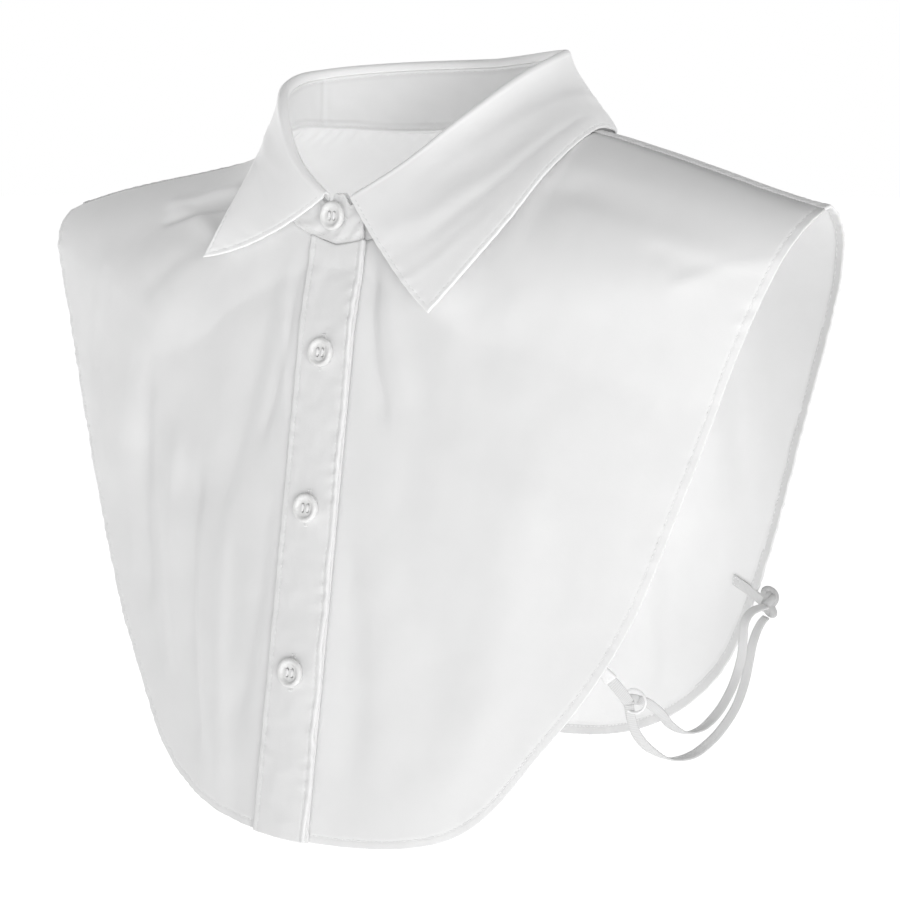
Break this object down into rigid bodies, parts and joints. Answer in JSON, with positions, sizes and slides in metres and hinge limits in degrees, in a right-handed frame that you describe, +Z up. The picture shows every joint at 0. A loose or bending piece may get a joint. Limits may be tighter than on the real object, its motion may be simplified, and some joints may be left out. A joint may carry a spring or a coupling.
{
  "type": "detachable shirt collar",
  "caption": "Detachable white cotton shirt collar: pointed turn-down collar on a buttoned bib front and a back panel, open at neck, hem and sides, with elastic at each side.",
  "frame": {"origin": "midway between the two points where the shoulder ridge meets the neck, in the middle of the neck opening", "axes": "+X towards the wearer's left, -Y the garment's front, +Z up"},
  "size_m": [0.4006, 0.1989, 0.3361],
  "materials": {
    "front_left": "plain woven cotton poplin",
    "front_right": "plain woven cotton poplin",
    "back": "plain woven cotton poplin",
    "placket": "plain woven cotton poplin",
    "collar_stand": "plain woven cotton poplin",
    "collar_fall": "plain woven cotton poplin",
    "button_1": "white moulded resin with a soft shine",
    "button_2": "white moulded resin with a soft shine",
    "button_3": "white moulded resin with a soft shine",
    "button_stand": "white moulded resin with a soft shine",
    "tab_front_left": "folded cotton tape",
    "tab_back_left": "folded cotton tape",
    "knot_left": "knotted woven elastic",
    "elastic_inner_left": "narrow woven elastic",
    "elastic_outer_left": "narrow woven elastic",
    "tab_front_right": "folded cotton tape",
    "tab_back_right": "folded cotton tape",
    "knot_right": "knotted woven elastic",
    "elastic_inner_right": "narrow woven elastic",
    "elastic_outer_right": "narrow woven elastic"
  },
  "bodies": {
    "root": {"front_left": "front_left", "front_right": "front_right", "back": "back", "placket": "placket", "collar_stand": "collar_stand", "collar_fall": "collar_fall", "button_1": "button_1", "button_2": "button_2", "button_3": "button_3", "button_stand": "button_stand", "tab_front_left": "tab_front_left", "tab_back_left": "tab_back_left", "knot_left": "knot_left", "elastic_inner_left": "elastic_inner_left", "elastic_outer_left": "elastic_outer_left", "tab_front_right": "tab_front_right", "tab_back_right": "tab_back_right", "knot_right": "knot_right", "elastic_inner_right": "elastic_inner_right", "elastic_outer_right": "elastic_outer_right"}
  },
  "joints": []
}
